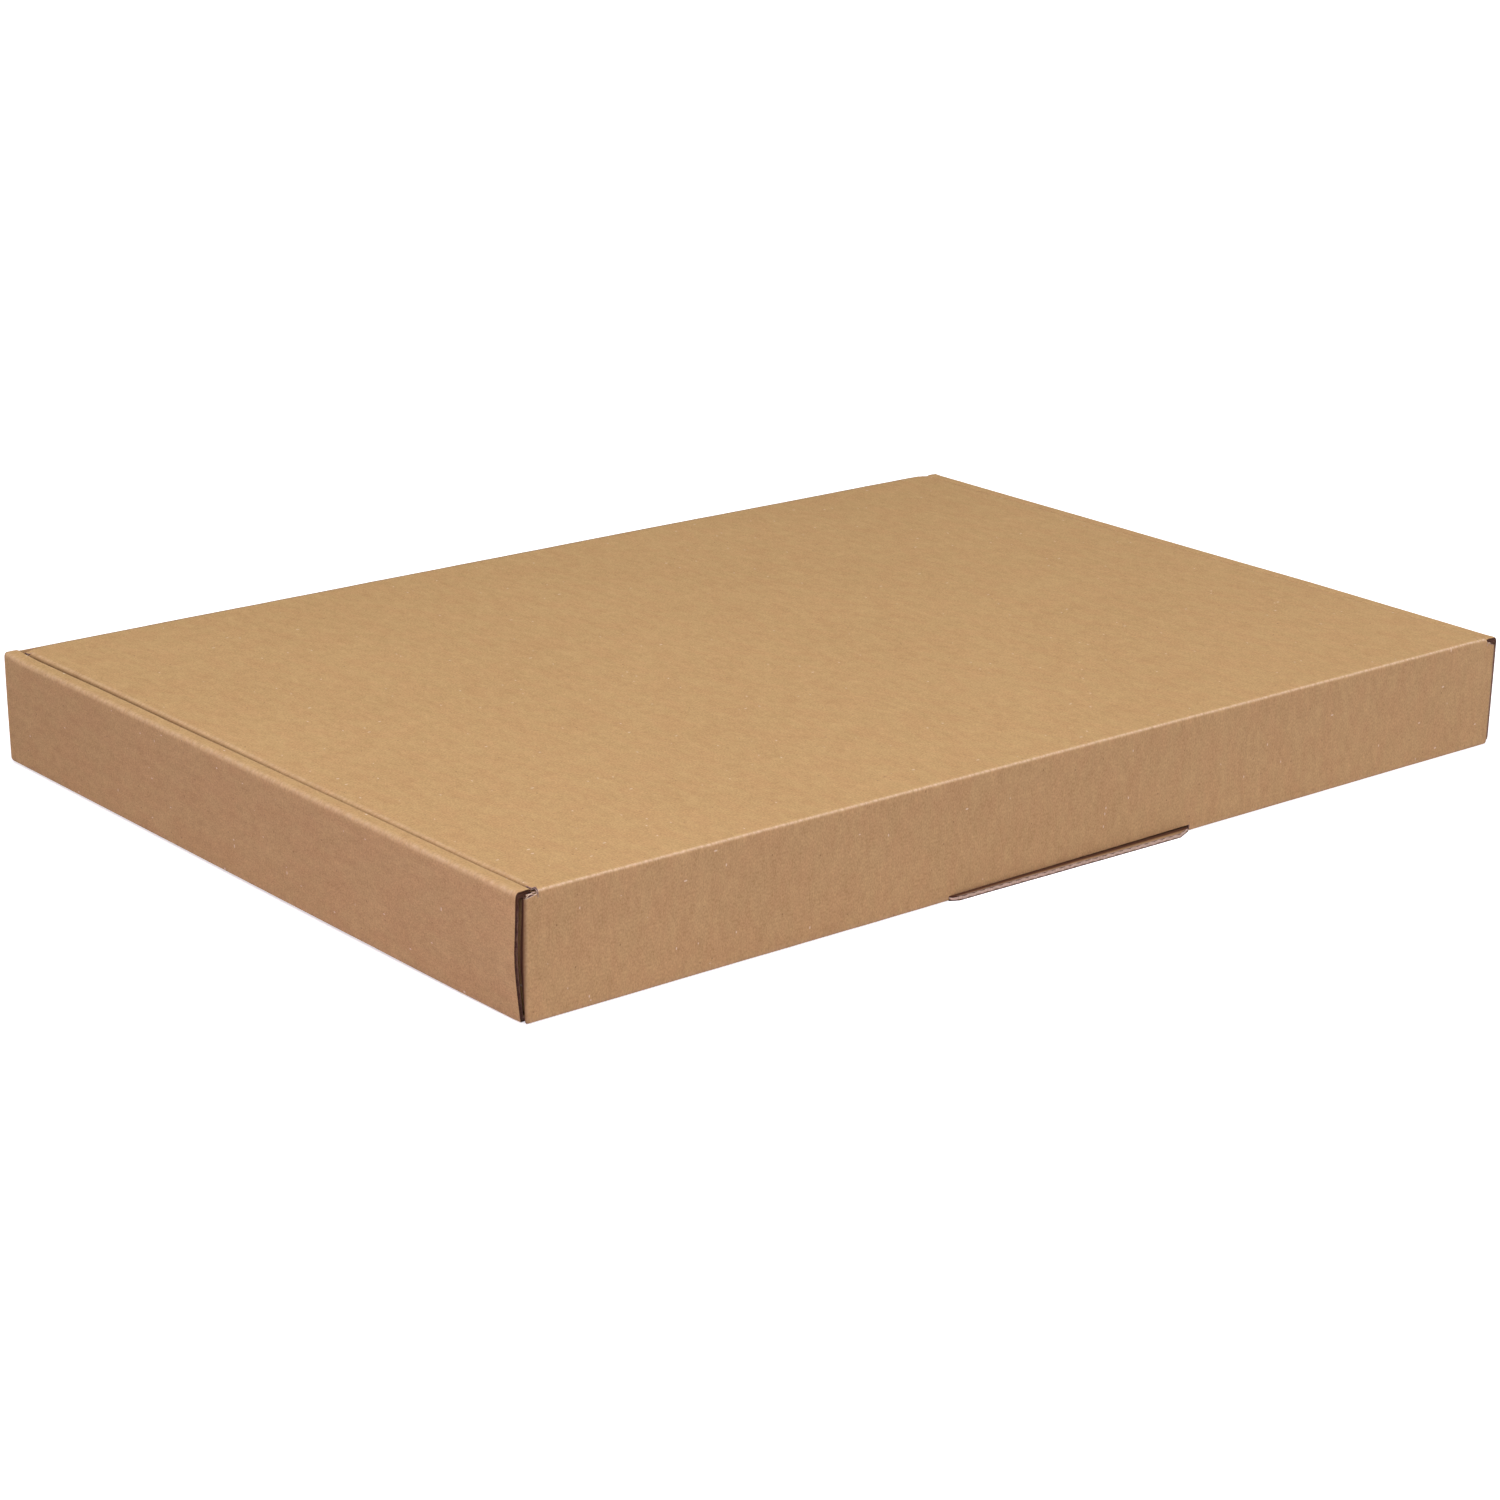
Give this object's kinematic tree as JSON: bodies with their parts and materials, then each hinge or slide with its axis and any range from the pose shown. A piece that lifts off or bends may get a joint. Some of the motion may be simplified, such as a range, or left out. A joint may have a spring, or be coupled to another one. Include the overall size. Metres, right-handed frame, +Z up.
{
  "type": "cardboard mailer box",
  "caption": "Flat closed postal box folded from brown corrugated board, with rolled side walls and a hinged lid that tucks in behind the front wall.",
  "frame": {"origin": "on the floor under the middle of the closed box", "axes": "+X along the hinge, +Y from the hinge wall to the front wall, +Z up"},
  "size_m": [0.352, 0.2442, 0.033],
  "materials": {
    "kraft_board": "matt brown kraft liner on both faces of thin corrugated board"
  },
  "bodies": {
    "tray": {"tray": "kraft_board"},
    "lid": {"lid": "kraft_board"}
  },
  "joints": [
    {"name": "lid_hinge", "type": "hinge", "parent": "tray", "child": "lid", "pos_m": [0, -0.12044, 0.03244], "axis": [1, 0, 0], "range_deg": [0, 180]}
  ]
}
